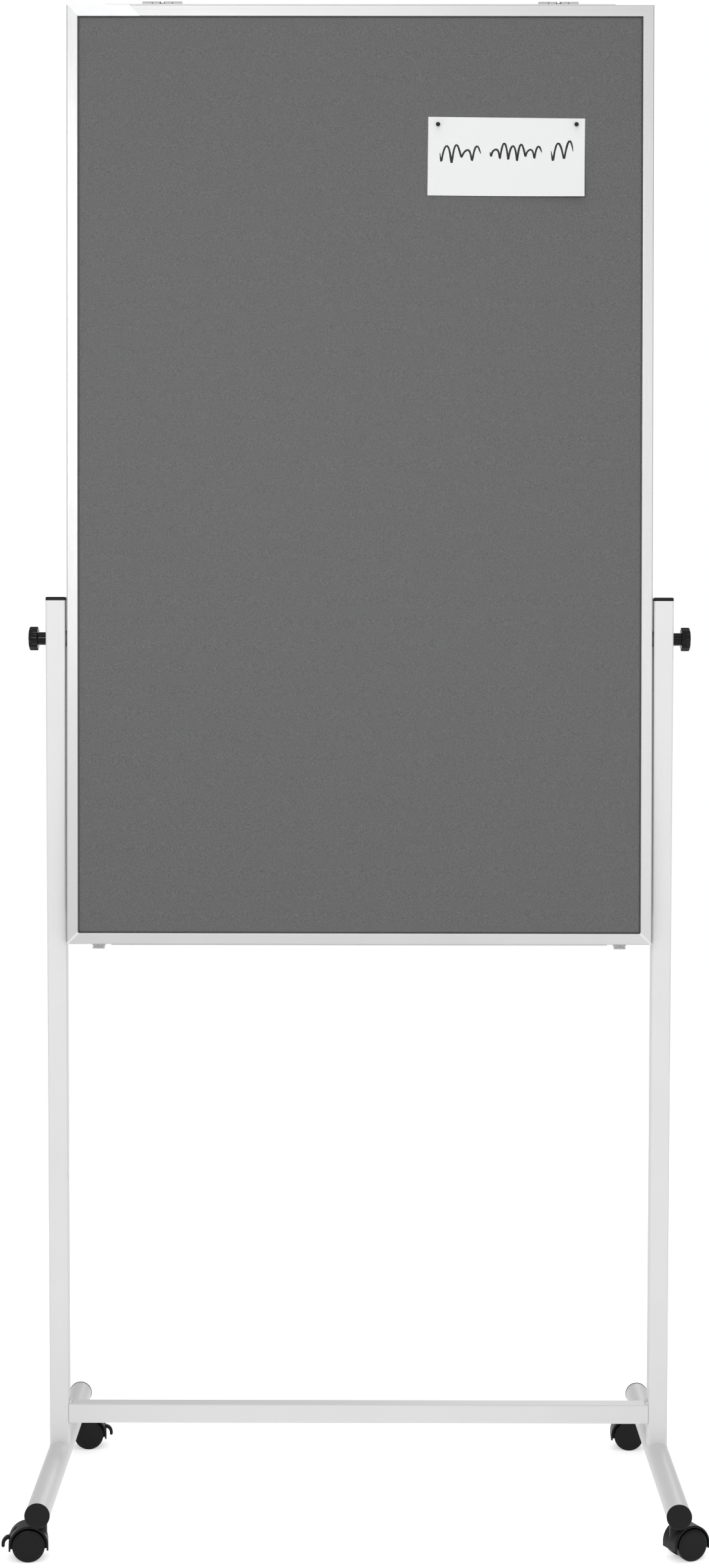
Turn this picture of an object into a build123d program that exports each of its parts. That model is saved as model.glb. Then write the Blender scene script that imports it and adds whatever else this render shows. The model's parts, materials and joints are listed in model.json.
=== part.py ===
"""Rolling two-sided board: a felt pin board with a whiteboard on its back, turning about a
horizontal axis between two posts, on a welded stand with four twin-wheel casters.

Millimetres. The origin is on the floor, midway between the posts. +X is to the right, +Z is
up, and the felt side faces -Y.
"""
from build123d import *
import os
from math import cos, radians, sin

os.makedirs("parts", exist_ok=True)

# ---------------------------------------------------------------- driving dimensions
board_width = 750.0
board_height = 1200.0
pivot_below_top = 808.0      # the turning axis is above the board's middle line when upright
board_tilt = 2.6             # degrees, the top leans back
pivot_height = 1124.5

frame_depth = 22.0           # thickness of the aluminium frame, front to back
frame_face = 14.3            # width of the frame's face
lip_thickness = 1.5          # front and back lips that hold the panel
panel_pocket = 5.3           # how far the panel enters the frame
felt_thickness = 1.6
sheet_thickness = 0.6

post_size = 25.0             # square tube of the posts and the crossbar
post_corner = 2.5
post_wall = 1.5
post_centre_x = 389.5
post_top = 1173.5
crossbar_height = 116.5

foot_radius = 15.0           # round tube of the feet
foot_wall = 2.0
foot_height = 65.0
foot_length = 552.0          # over the end caps
cap_flange = 2.5

stem_y = 235.0               # caster stems, in front of and behind the posts
wheel_radius = 20.0
wheel_width = 11.0
caster_half_width = 18.0     # outer faces of the two wheels
caster_trail = 15.0          # stem axis to wheel axle
hood_radius = 24.3
hood_wall = 2.3
hood_half_width = 16.0
web_half_width = 6.5
caster_turn = {              # degrees, the way each caster trails, seen from above
    "front_left": 186.5,
    "front_right": 24.0,
    "rear_left": 5.0,
    "rear_right": 178.0,
}
braked_casters = ("front_left", "rear_left")

stud_radius = 4.0
running_gap = 0.05           # radial, shaft in a turning bore
loose_gap = 0.3              # between pieces that move past each other

# ---------------------------------------------------------------- worked-out dimensions
half_width = board_width / 2
half_depth = frame_depth / 2
board_top = pivot_below_top
board_bottom = pivot_below_top - board_height
pocket_depth = frame_face - panel_pocket
panel_half_depth = half_depth - lip_thickness
post_inner_x = post_centre_x - post_size / 2
post_outer_x = post_centre_x + post_size / 2

# The board is drawn on its own leaning plane: local x is +X, local y is up the board and
# the plane's normal points out of the felt side.
board_plane = Plane(
    origin=(0, 0, pivot_height),
    x_dir=(1, 0, 0),
    z_dir=(0, -cos(radians(board_tilt)), sin(radians(board_tilt))),
)
board_up = board_plane.y_dir
board_out = board_plane.z_dir


def on_board(across, up, out=0.0):
    """A point given across, up and out of the board."""
    return board_plane.from_local_coords((across, up, out))


def across_plane(across=0.0):
    """A plane square to X: local x points out of the felt side, local y is up the board."""
    return Plane(origin=on_board(across, 0), x_dir=board_out, z_dir=(-1, 0, 0))


def save(builder, name):
    """Label the finished part and write it as its own STEP file."""
    builder.part.label = name
    export_step(builder.part, f"parts/{name}.step")


# ---------------------------------------------------------------- stand: tubes
def square_tube_profile():
    """Section of the posts' and the crossbar's tube."""
    RectangleRounded(post_size, post_size, post_corner)
    inner = post_size - 2 * post_wall
    RectangleRounded(inner, inner, post_corner - post_wall, mode=Mode.SUBTRACT)


for side, name in ((-1, "left_post"), (1, "right_post")):
    with BuildPart() as post:
        with BuildSketch(Plane.XY.offset(foot_height)):
            with Locations((side * post_centre_x, 0)):
                square_tube_profile()
        extrude(amount=post_top - foot_height)
        with BuildSketch(Plane.XZ):
            with Locations((side * post_centre_x, foot_height)):
                Circle(foot_radius)
        extrude(amount=post_size, both=True, mode=Mode.SUBTRACT)
        with BuildSketch(Plane.YZ.offset(side * post_centre_x)):
            with Locations((0, pivot_height)):
                Circle(stud_radius + running_gap)
        extrude(amount=post_size, both=True, mode=Mode.SUBTRACT)
    save(post, name)

with BuildPart() as crossbar:
    with BuildSketch(Plane.YZ.offset(-post_inner_x)):
        with Locations((0, crossbar_height)):
            square_tube_profile()
    extrude(amount=2 * post_inner_x)
save(crossbar, "crossbar")

# Concave weld fillets above and below both ends of the crossbar.
bead_leg = 4.0
bead_throat = 0.4 * bead_leg
bead_half_length = 9.0
with BuildPart() as weld_beads:
    for side in (-1, 1):
        for up in (-1, 1):
            corner_x = side * post_inner_x
            corner_z = crossbar_height + up * post_size / 2
            along = (corner_x - side * bead_leg, corner_z)
            above = (corner_x, corner_z + up * bead_leg)
            middle = (corner_x - side * bead_throat, corner_z + up * bead_throat)
            with BuildSketch(Plane.XZ):
                with BuildLine():
                    Polyline(along, (corner_x, corner_z), above)
                    ThreePointArc(above, middle, along)
                make_face()
            extrude(amount=bead_half_length, both=True)
save(weld_beads, "weld_beads")

tube_half_length = foot_length / 2 - cap_flange
for side, name in ((-1, "left_foot_tube"), (1, "right_foot_tube")):
    with BuildPart() as foot:
        with BuildSketch(Plane.XZ):
            with Locations((side * post_centre_x, foot_height)):
                Circle(foot_radius)
                Circle(foot_radius - foot_wall, mode=Mode.SUBTRACT)
        extrude(amount=tube_half_length, both=True)
        with BuildSketch(Plane.XY.offset(foot_height)):
            with Locations((side * post_centre_x, stem_y), (side * post_centre_x, -stem_y)):
                Circle(stud_radius)
        extrude(amount=-foot_radius, mode=Mode.SUBTRACT)
    save(foot, name)

# ---------------------------------------------------------------- stand: caps and inserts
post_cap_height = 4.5
post_plug_depth = 16.0
post_cap_chamfer = 1.2
for side, name in ((-1, "left_post_cap"), (1, "right_post_cap")):
    with BuildPart() as post_cap:
        with BuildSketch(Plane.XY.offset(post_top)):
            with Locations((side * post_centre_x, 0)):
                RectangleRounded(post_size, post_size, post_corner)
        extrude(amount=post_cap_height)
        chamfer(post_cap.faces().sort_by(Axis.Z)[-1].edges(), length=post_cap_chamfer)
        with BuildSketch(Plane.XY.offset(post_top)):
            plug = post_size - 2 * post_wall
            with Locations((side * post_centre_x, 0)):
                RectangleRounded(plug, plug, post_corner - post_wall)
        extrude(amount=-post_plug_depth)
    save(post_cap, name)

end_cap_radius = 15.5
end_plug_depth = 15.0
end_cap_chamfer = 0.9
with BuildPart() as foot_end_caps:
    for end in (-1, 1):
        cap_face = Plane.XZ.offset(end * tube_half_length)
        for side in (-1, 1):
            with BuildSketch(cap_face):
                with Locations((side * post_centre_x, foot_height)):
                    Circle(end_cap_radius)
            extrude(amount=end * cap_flange)
    chamfer(foot_end_caps.faces().group_by(Axis.Y)[0].edges(), length=end_cap_chamfer)
    chamfer(foot_end_caps.faces().group_by(Axis.Y)[-1].edges(), length=end_cap_chamfer)
    for end in (-1, 1):
        cap_face = Plane.XZ.offset(end * tube_half_length)
        for side in (-1, 1):
            with BuildSketch(cap_face):
                with Locations((side * post_centre_x, foot_height)):
                    Circle(foot_radius - foot_wall)
            extrude(amount=-end * end_plug_depth)
save(foot_end_caps, "foot_end_caps")

nut_base = 54.1
nut_radius = 7.0
nut_height = 12.0
stem_bottom = 26.6
stem_chamfer = 0.8
stem_places = [(x, y) for x in (-post_centre_x, post_centre_x) for y in (-stem_y, stem_y)]
with BuildPart() as caster_nuts:
    with BuildSketch(Plane.XY.offset(nut_base)):
        with Locations(*stem_places):
            Circle(nut_radius)
            Circle(stud_radius, mode=Mode.SUBTRACT)
    extrude(amount=nut_height)
save(caster_nuts, "caster_nuts")

with BuildPart() as caster_stems:
    with BuildSketch(Plane.XY.offset(stem_bottom)):
        with Locations(*stem_places):
            Circle(stud_radius)
    extrude(amount=nut_base + nut_height - stem_bottom)
    chamfer(caster_stems.faces().group_by(Axis.Z)[0].edges(), length=stem_chamfer)
save(caster_stems, "caster_stems")

# ---------------------------------------------------------------- board: frame
slot_mouth = 5.2             # half width of the outer slot's mouth
slot_half = 8.0              # half width of the slot's inside
slot_mouth_depth = 2.0
slot_bottom = 7.4
edge_round = 1.2
web_thickness = 2.7          # diagonal web of the bottom corner joints
web_setback = web_thickness / 2 * 2 ** 0.5


def frame_profile():
    """Section of the frame: local x from its outer edge inwards, local y through it."""
    RectangleRounded(frame_face, frame_depth, edge_round, align=(Align.MIN, Align.CENTER))
    with Locations((pocket_depth, 0)):
        Rectangle(panel_pocket, 2 * panel_half_depth, align=(Align.MIN, Align.CENTER),
                  mode=Mode.SUBTRACT)
    Rectangle(slot_mouth_depth, 2 * slot_mouth, align=(Align.MIN, Align.CENTER),
              mode=Mode.SUBTRACT)
    with Locations((slot_mouth_depth, 0)):
        Rectangle(slot_bottom - slot_mouth_depth, 2 * slot_half,
                  align=(Align.MIN, Align.CENTER), mode=Mode.SUBTRACT)


for side, name in ((-1, "frame_left"), (1, "frame_right")):
    outer = side * half_width
    inner = side * (half_width - frame_face)
    with BuildPart() as upright:
        with BuildSketch(Plane(origin=on_board(outer, board_bottom), x_dir=(-side, 0, 0),
                               z_dir=board_up)):
            frame_profile()
        extrude(amount=board_height)
        with BuildSketch(board_plane):
            with BuildLine():
                Polyline(
                    (outer, board_bottom + web_setback),
                    (outer, board_top),
                    (inner, board_top - frame_face),
                    (inner, board_bottom + frame_face + web_setback),
                    close=True,
                )
            make_face()
        extrude(amount=half_depth, both=True, mode=Mode.INTERSECT)
    save(upright, name)

trim_outer = 80.0            # blank corner trim, length along its outer and inner edges
trim_inner = 94.0
trim_thickness = 0.9
trim_recess = 0.6


def trim_outline():
    """Outline of the corner trim: mitred at the corner, cut on a slant at its other end."""
    with BuildLine() as outline:
        Polyline(
            (-half_width, board_top),
            (-half_width + trim_outer, board_top),
            (-half_width + trim_inner, board_top - frame_face),
            (-half_width + frame_face, board_top - frame_face),
            close=True,
        )
    make_face(outline.edges())


for top, name in ((True, "frame_top"), (False, "frame_bottom")):
    outer = board_top if top else board_bottom
    inner = outer - frame_face if top else outer + frame_face
    setback = 0.0 if top else web_setback
    inwards = board_up * -1 if top else board_up
    with BuildPart() as rail:
        with BuildSketch(Plane(origin=on_board(-half_width, outer), x_dir=inwards,
                               z_dir=(1, 0, 0))):
            frame_profile()
        extrude(amount=board_width)
        with BuildSketch(board_plane):
            with BuildLine():
                Polyline(
                    (-half_width + setback, outer),
                    (half_width - setback, outer),
                    (half_width - frame_face - setback, inner),
                    (-half_width + frame_face + setback, inner),
                    close=True,
                )
            make_face()
        extrude(amount=half_depth, both=True, mode=Mode.INTERSECT)
        if top:
            with BuildSketch(board_plane.offset(half_depth)):
                trim_outline()
            extrude(amount=-trim_recess, mode=Mode.SUBTRACT)
    save(rail, name)

with BuildPart() as corner_trim:
    with BuildSketch(board_plane.offset(half_depth - trim_recess)):
        trim_outline()
    extrude(amount=trim_thickness)
save(corner_trim, "corner_trim")

# Corner keys: an L inside the slots of two members, and at the bottom corners a diagonal web
# that shows between the mitred ends.
key_leg = 40.0
key_outer = 2.2
key_inner = 7.2
key_gap = 0.2
web_relief = panel_pocket + 4.0   # clears the panel's corner between the lips
with BuildPart() as corner_keys:
    for side in (-1, 1):
        for end, up in ((board_bottom, 1), (board_top, -1)):
            outer_x = side * (half_width - key_outer)
            inner_x = side * (half_width - key_inner)
            tip_x = side * (half_width - key_leg)
            with BuildSketch(board_plane):
                with BuildLine():
                    Polyline(
                        (outer_x, end + up * key_outer),
                        (tip_x, end + up * key_outer),
                        (tip_x, end + up * key_inner),
                        (inner_x, end + up * key_inner),
                        (inner_x, end + up * key_leg),
                        (outer_x, end + up * key_leg),
                        close=True,
                    )
                make_face()
            extrude(amount=slot_half - key_gap, both=True)
        corner_x = side * half_width
        with BuildSketch(board_plane):
            with BuildLine():
                Polyline(
                    (corner_x, board_bottom),
                    (corner_x, board_bottom + web_setback),
                    (corner_x - side * frame_face, board_bottom + frame_face + web_setback),
                    (corner_x - side * frame_face, board_bottom + frame_face),
                    (corner_x - side * (frame_face + web_setback), board_bottom + frame_face),
                    (corner_x - side * web_setback, board_bottom),
                    close=True,
                )
            make_face()
        extrude(amount=half_depth, both=True)
        with BuildSketch(board_plane):
            with Locations((corner_x - side * (frame_face - panel_pocket / 2),
                            board_bottom + frame_face - panel_pocket / 2)):
                Rectangle(web_relief, web_relief)
        extrude(amount=panel_half_depth, both=True, mode=Mode.SUBTRACT)
save(corner_keys, "corner_keys")

# ---------------------------------------------------------------- board: panel
panel_gap = 0.2
panel_half_width = half_width - pocket_depth - panel_gap
panel_height = board_height - 2 * (pocket_depth + panel_gap)
panel_middle = (board_top + board_bottom) / 2

card_width = 200.0
card_height = 100.0
card_thickness = 0.3
card_centre = (186.4, 614.8)
card_turn = -0.6             # degrees
pin_places = [(99.2, 655.0), (275.7, 655.4)]
pin_needle_radius = 0.6
pin_needle_depth = 7.0
pin_head_radius = 2.8
felt_face = panel_half_depth
core_front = panel_half_depth - felt_thickness
core_back = -panel_half_depth + sheet_thickness


def panel_layer(back, front, pinned):
    """One layer of the panel, between two heights out of the board's middle plane."""
    with BuildPart() as layer:
        with BuildSketch(board_plane.offset(back)):
            with Locations((0, panel_middle)):
                Rectangle(2 * panel_half_width, panel_height)
        extrude(amount=front - back)
        if pinned:
            with BuildSketch(board_plane.offset(front)):
                with Locations(*pin_places):
                    Circle(pin_needle_radius)
            extrude(amount=-min(front - back, pin_needle_depth - felt_thickness),
                    mode=Mode.SUBTRACT)
    return layer


save(panel_layer(core_back, core_front, True), "core_panel")
save(panel_layer(core_front, felt_face, True), "felt_cover")
save(panel_layer(-panel_half_depth, core_back, False), "whiteboard_sheet")

with BuildPart() as note_card:
    with BuildSketch(board_plane.offset(felt_face)):
        with Locations(Location((card_centre[0], card_centre[1], 0), (0, 0, card_turn))):
            Rectangle(card_width, card_height)
        with Locations(*pin_places):
            Circle(pin_needle_radius, mode=Mode.SUBTRACT)
    extrude(amount=card_thickness)
save(note_card, "note_card")

pin_neck = 3.4               # bare neck between the card and the pin's ball
pin_neck_radius = 1.5
ball_overlap = 0.5
needle_reach = pin_needle_depth - loose_gap
with BuildPart() as push_pins:
    for place in pin_places:
        pin_plane = Plane(origin=on_board(*place, felt_face), x_dir=(1, 0, 0), z_dir=board_out)
        with BuildSketch(pin_plane):
            Circle(pin_needle_radius)
        extrude(amount=card_thickness)
        with BuildSketch(pin_plane):
            Circle(pin_needle_radius)
        extrude(amount=-needle_reach)
        with BuildSketch(pin_plane.offset(card_thickness)):
            Circle(pin_neck_radius)
        extrude(amount=pin_neck)
        ball_centre = felt_face + card_thickness + pin_neck + pin_head_radius - ball_overlap
        with Locations(on_board(*place, ball_centre)):
            Sphere(pin_head_radius)
save(push_pins, "push_pins")

# ---------------------------------------------------------------- board: pen tray and feet
tray_half_length = 318.0
tray_front = 8.5
tray_back = -72.0
tray_gauge = 1.4
tray_lip_height = 16.0
tray_inner_wall = 14.0
tray_curl = 5.0
screw_shank_radius = 1.75
wall_gap = 0.2               # tray and clamp rail, from the back of the frame
frame_back = -half_depth - wall_gap
with BuildPart() as pen_tray:
    with BuildSketch(across_plane(tray_half_length)):
        with BuildLine():
            ledge = board_bottom
            Polyline(
                (tray_front, ledge),
                (tray_front, ledge - tray_gauge),
                (tray_back, ledge - tray_gauge),
                (tray_back, ledge + tray_lip_height),
                (tray_back + tray_curl, ledge + tray_lip_height),
                (tray_back + tray_curl, ledge + tray_lip_height - tray_gauge),
                (tray_back + tray_gauge, ledge + tray_lip_height - tray_gauge),
                (tray_back + tray_gauge, ledge),
                (frame_back - tray_gauge, ledge),
                (frame_back - tray_gauge, ledge + tray_inner_wall),
                (frame_back, ledge + tray_inner_wall),
                (frame_back, ledge),
                close=True,
            )
        make_face()
    extrude(amount=2 * tray_half_length)
    tray_screw_places = [(-293.0, 0.0), (0.0, 0.0), (293.0, 0.0)]
    under_tray = Plane(origin=on_board(0, board_bottom - tray_gauge), x_dir=(1, 0, 0),
                       z_dir=board_up * -1)
    with BuildSketch(under_tray):
        with Locations(*tray_screw_places):
            Circle(screw_shank_radius)
    extrude(amount=-tray_gauge, mode=Mode.SUBTRACT)
save(pen_tray, "pen_tray")

end_cap_thickness = 2.5
end_cap_overlap = 0.4
end_cap_drop = 0.3
with BuildPart() as tray_end_caps:
    for side in (-1, 1):
        with BuildSketch(across_plane(side * tray_half_length)):
            with BuildLine():
                Polyline(
                    (frame_back, board_bottom - tray_gauge - end_cap_drop),
                    (tray_back - end_cap_overlap, board_bottom - tray_gauge - end_cap_drop),
                    (tray_back - end_cap_overlap, board_bottom + tray_lip_height + end_cap_overlap),
                    (frame_back, board_bottom + tray_lip_height + end_cap_overlap),
                    close=True,
                )
            cap_face = make_face()
            fillet(cap_face.vertices(), radius=2.0)
        extrude(amount=-side * end_cap_thickness)
save(tray_end_caps, "tray_end_caps")

screw_head_radius = 3.7
screw_head_height = 1.6
screw_head_round = 0.9
tray_nut_half = 8.0
tray_nut_height = 4.5
with BuildPart() as tray_screws:
    with BuildSketch(under_tray):
        with Locations(*tray_screw_places):
            Circle(screw_head_radius)
    extrude(amount=screw_head_height)
    fillet(tray_screws.faces().group_by(Axis.Z)[0].edges(), radius=screw_head_round)
    with BuildSketch(under_tray):
        with Locations(*tray_screw_places):
            Circle(screw_shank_radius)
    extrude(amount=-(tray_gauge + key_inner))
save(tray_screws, "tray_screws")

with BuildPart() as tray_nuts:
    slot_floor = Plane(origin=on_board(0, board_bottom + key_outer), x_dir=(1, 0, 0),
                       z_dir=board_up)
    with BuildSketch(slot_floor):
        with Locations(*tray_screw_places):
            Rectangle(2 * tray_nut_half, 2 * (slot_half - 2 * key_gap))
            Circle(screw_shank_radius, mode=Mode.SUBTRACT)
    extrude(amount=tray_nut_height)
save(tray_nuts, "tray_nuts")

foot_top = 16.7
foot_base = 12.5
bumper_height = 6.2
bumper_depth = 14.0
bumper_taper = 4.0
bumper_round = 2.2
with BuildPart() as bumper_feet:
    for side in (-1, 1):
        under_frame = Plane(origin=on_board(side * 334.5, board_bottom), x_dir=(1, 0, 0),
                            z_dir=board_up * -1)
        with BuildSketch(under_frame):
            RectangleRounded(foot_top, bumper_depth, bumper_round)
        with BuildSketch(under_frame.offset(bumper_height)):
            RectangleRounded(foot_base, bumper_depth - bumper_taper, bumper_round)
        loft()
save(bumper_feet, "bumper_feet")

# ---------------------------------------------------------------- board: flip-chart clamp
rail_half_length = 325.5
rail_gauge = 1.6
rail_front = 8.5
rail_rear = -20.0
rail_leg_bottom = board_top - 44.0
rail_rear_lip = 2.0
rail_lip_gauge = 1.2
barrel_out = -18.0           # hinge axis of the clamp bar, out of and up the board
barrel_up = board_top - 10.0
barrel_radius = 3.4
clamp_pin_radius = 1.5
bracket_inner = 317.0
bracket_reach = 5.0          # around the hinge axis
bracket_foot = 16.0          # below the hinge axis, against the frame
bracket_round = 3.0
pin_setback = 1.0
with BuildPart() as clamp_rail:
    with BuildSketch(across_plane(rail_half_length)):
        with BuildLine():
            Polyline(
                (rail_front, board_top),
                (rail_front, board_top + rail_gauge),
                (rail_rear, board_top + rail_gauge),
                (rail_rear, board_top - rail_rear_lip),
                (rail_rear + rail_lip_gauge, board_top - rail_rear_lip),
                (rail_rear + rail_lip_gauge, board_top),
                (frame_back - rail_gauge, board_top),
                (frame_back - rail_gauge, rail_leg_bottom),
                (frame_back, rail_leg_bottom),
                (frame_back, board_top),
                close=True,
            )
        make_face()
    extrude(amount=2 * rail_half_length)
save(clamp_rail, "clamp_rail")

with BuildPart() as clamp_brackets:
    for side in (-1, 1):
        with BuildSketch(across_plane(side * bracket_inner)):
            with BuildLine():
                Polyline(
                    (frame_back - rail_gauge, barrel_up + bracket_reach),
                    (barrel_out - bracket_reach, barrel_up + bracket_reach),
                    (barrel_out - bracket_reach, barrel_up - bracket_reach),
                    (frame_back - rail_gauge, barrel_up - bracket_foot),
                    close=True,
                )
            bracket_face = make_face()
            fillet(bracket_face.vertices().sort_by(Axis.X)[:2], radius=bracket_round)
            with Locations((barrel_out, barrel_up)):
                Circle(clamp_pin_radius, mode=Mode.SUBTRACT)
        extrude(amount=-side * (rail_half_length - bracket_inner))
save(clamp_brackets, "clamp_brackets")

with BuildPart() as clamp_pin:
    with BuildSketch(across_plane(rail_half_length - pin_setback)):
        with Locations((barrel_out, barrel_up)):
            Circle(clamp_pin_radius)
    extrude(amount=2 * (rail_half_length - pin_setback))
save(clamp_pin, "clamp_pin")

bar_half_length = bracket_inner - 1.0
blade_gauge = 2.2
blade_bottom = board_top - 46.0
blade_bend = 9.0             # height over which the blade turns in to its nose
nose_height = 3.2
bend_inset = 1.5
nose_out = frame_back - rail_gauge - loose_gap   # where the blade's nose meets the paper
with BuildPart() as clamp_bar:
    with BuildSketch(across_plane(bar_half_length)):
        with Locations((barrel_out, barrel_up)):
            Circle(barrel_radius)
        with BuildLine():
            Polyline(
                (barrel_out - barrel_radius, barrel_up),
                (barrel_out - barrel_radius, blade_bottom + blade_bend),
                (nose_out, blade_bottom),
                (nose_out, blade_bottom + nose_height),
                (barrel_out - barrel_radius + blade_gauge, blade_bottom + blade_bend + bend_inset),
                (barrel_out - barrel_radius + blade_gauge, barrel_up),
                close=True,
            )
        make_face()
        with Locations((barrel_out, barrel_up)):
            Circle(clamp_pin_radius + running_gap, mode=Mode.SUBTRACT)
    extrude(amount=2 * bar_half_length)
save(clamp_bar, "clamp_bar")

hook_half_width = 25.5
hook_centre = 253.0
hook_base = board_top + rail_gauge + loose_gap
hook_top = board_top + 5.2
hook_rear_wall = 2.4
hook_rear = rail_rear - loose_gap - hook_rear_wall
hook_front = rail_front - 1.5
hook_edge = 1.0
hook_shoulder = 2.0
jaw_reach = 4.0              # how far the jaw goes in under the rail
jaw_height = 2.0
notch_half = 3.7
slit_offset = 12.8
slit_width = 0.9
slit_ends = 1.2              # left uncut above and below each slit
mark_depth = 9.0             # depth of the notch and the slits
peg_radius = 3.0
peg_length = 16.0            # from inside the hook's rear wall to the tip
peg_chamfer = 0.8
collar_radius = 4.6          # a hung pad stops against the collar, square to the peg
collar_face = 4.2            # along the peg, clear of the hook's rear wall
relief_radius = 2.6
relief_length = 0.6
peg_rise = 20.0              # degrees above the board's normal
peg_root_up = 0.6
peg_root_depth = 1.0
jaw_top = board_top - rail_rear_lip - loose_gap
for side, name in ((-1, "left_hook"), (1, "right_hook")):
    middle = side * hook_centre
    with BuildPart() as hook:
        with BuildSketch(across_plane(middle)):
            with BuildLine():
                Polyline(
                    (hook_front, hook_base),
                    (hook_front, hook_top - hook_edge),
                    (hook_front - hook_edge, hook_top),
                    (hook_rear + hook_shoulder, hook_top),
                    (hook_rear, hook_top - hook_shoulder),
                    (hook_rear, jaw_top - jaw_height),
                    (rail_rear + jaw_reach, jaw_top - jaw_height),
                    (rail_rear + jaw_reach, board_top - loose_gap),
                    (rail_rear + rail_lip_gauge + loose_gap, board_top - loose_gap),
                    (rail_rear + rail_lip_gauge + loose_gap, jaw_top),
                    (rail_rear - loose_gap, jaw_top),
                    (rail_rear - loose_gap, hook_base),
                    close=True,
                )
            make_face()
        extrude(amount=hook_half_width, both=True)
        with BuildSketch(board_plane.offset(rail_front)):
            with Locations((middle, hook_base)):
                Circle(notch_half)
            for slit in (-slit_offset, slit_offset):
                with Locations((middle + slit, hook_base)):
                    Rectangle(slit_width, 2 * (hook_top - hook_base - slit_ends))
        extrude(amount=-mark_depth, mode=Mode.SUBTRACT)
        peg_direction = (
            board_out * -cos(radians(peg_rise)) + board_up * sin(radians(peg_rise))
        )
        peg_root = on_board(middle, board_top + peg_root_up, hook_rear + peg_root_depth)
        peg_plane = Plane(origin=peg_root, x_dir=(1, 0, 0), z_dir=peg_direction)
        with BuildSketch(peg_plane):
            Circle(collar_radius)
        extrude(amount=collar_face)
        with BuildSketch(peg_plane.offset(collar_face)):
            Circle(relief_radius)
        extrude(amount=relief_length)
        with BuildSketch(peg_plane.offset(collar_face + relief_length)):
            Circle(peg_radius)
        extrude(amount=peg_length - collar_face - relief_length)
        peg_tip = hook.faces().sort_by(Axis((0, 0, 0), (0, 1, 0)))[-1]
        chamfer(peg_tip.edges(), length=peg_chamfer)
    save(hook, name)

# ---------------------------------------------------------------- pivots
block_half = 20.0            # half length of the block that slides in the frame's slot
tongue_setback = 3.0
block_outer = slot_mouth_depth + loose_gap
block_inner = slot_bottom - loose_gap
spacer_radius = 10.0
stud_reach = 15.0            # how far the stud stands out of the post
stud_chamfer = 0.7
for side, name in ((-1, "left_slide_block"), (1, "right_slide_block")):
    edge_plane = Plane(origin=on_board(side * half_width, 0), x_dir=board_up, z_dir=(-side, 0, 0))
    with BuildPart() as block:
        with BuildSketch(edge_plane.offset(block_outer)):
            Rectangle(2 * block_half, 2 * (slot_half - loose_gap))
        extrude(amount=block_inner - block_outer)
        with BuildSketch(edge_plane.offset(block_outer)):
            Rectangle(2 * (block_half - tongue_setback), 2 * (slot_mouth - loose_gap))
        extrude(amount=-(block_outer + loose_gap))
        with BuildSketch(edge_plane.offset(slot_bottom)):
            Circle(stud_radius)
        extrude(amount=-2 * slot_bottom, mode=Mode.SUBTRACT)
    save(block, name)

for side, name in ((-1, "left_stud"), (1, "right_stud")):
    stud_start = half_width - block_inner
    with BuildPart() as stud:
        with BuildSketch(Plane.YZ.offset(side * stud_start)):
            with Locations((0, pivot_height)):
                Circle(stud_radius)
        extrude(amount=side * (post_outer_x + stud_reach - stud_start))
        chamfer(stud.faces().sort_by(Axis.X)[-1 if side > 0 else 0].edges(), length=stud_chamfer)
    save(stud, name)

with BuildPart() as spacer_washers:
    for side in (-1, 1):
        with BuildSketch(Plane.YZ.offset(side * (half_width + loose_gap))):
            with Locations((0, pivot_height)):
                Circle(spacer_radius)
                Circle(stud_radius, mode=Mode.SUBTRACT)
        extrude(amount=side * (post_inner_x - half_width - 2 * loose_gap))
save(spacer_washers, "spacer_washers")

neck_radius = 8.25
neck_length = 10.2
bore_spare = 1.0             # bore beyond the stud's tip
head_radius = 15.2
head_length = 12.3
lobes = 8
flute_radius = 3.0
flute_offset = 1.2           # flute centres, outside the rim
neck_flare = 1.4
back_edge = 0.9
rim_edge = 1.5
dome_height = 2.6            # crown of the outer face above its rim
dome_middle = (0.47, 0.7)    # a point on the dome: share of the radius, depth below the crown
for side, name in ((-1, "left_knob"), (1, "right_knob")):
    face_x = post_outer_x + loose_gap
    with BuildPart() as knob:
        with BuildSketch(Plane.XZ):
            with BuildLine():
                crown = face_x + neck_length + head_length
                rim = crown - dome_height
                shoulder = face_x + neck_length
                Polyline(
                    (side * face_x, pivot_height),
                    (side * face_x, pivot_height + neck_radius),
                    (side * (shoulder + neck_flare), pivot_height + neck_radius),
                    (side * shoulder, pivot_height + head_radius - back_edge),
                    (side * (shoulder + back_edge), pivot_height + head_radius),
                    (side * (rim - rim_edge / 3), pivot_height + head_radius - rim_edge / 3),
                    (side * rim, pivot_height + head_radius - rim_edge),
                )
                ThreePointArc(
                    (side * rim, pivot_height + head_radius - rim_edge),
                    (
                        side * (crown - dome_middle[1]),
                        pivot_height + head_radius * dome_middle[0],
                    ),
                    (side * crown, pivot_height),
                )
                Line((side * crown, pivot_height), (side * face_x, pivot_height))
            make_face()
        revolve(axis=Axis((0, 0, pivot_height), (1, 0, 0)))
        with BuildSketch(Plane.YZ.offset(side * face_x)):
            with Locations((0, pivot_height)):
                with PolarLocations(head_radius + flute_offset, lobes, start_angle=180 / lobes):
                    Circle(flute_radius)
        extrude(amount=side * (neck_length + head_length), mode=Mode.SUBTRACT)
        with BuildSketch(Plane.YZ.offset(side * face_x)):
            with Locations((0, pivot_height)):
                Circle(stud_radius + running_gap)
        extrude(amount=side * (stud_reach + bore_spare), mode=Mode.SUBTRACT)
    save(knob, name)

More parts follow.
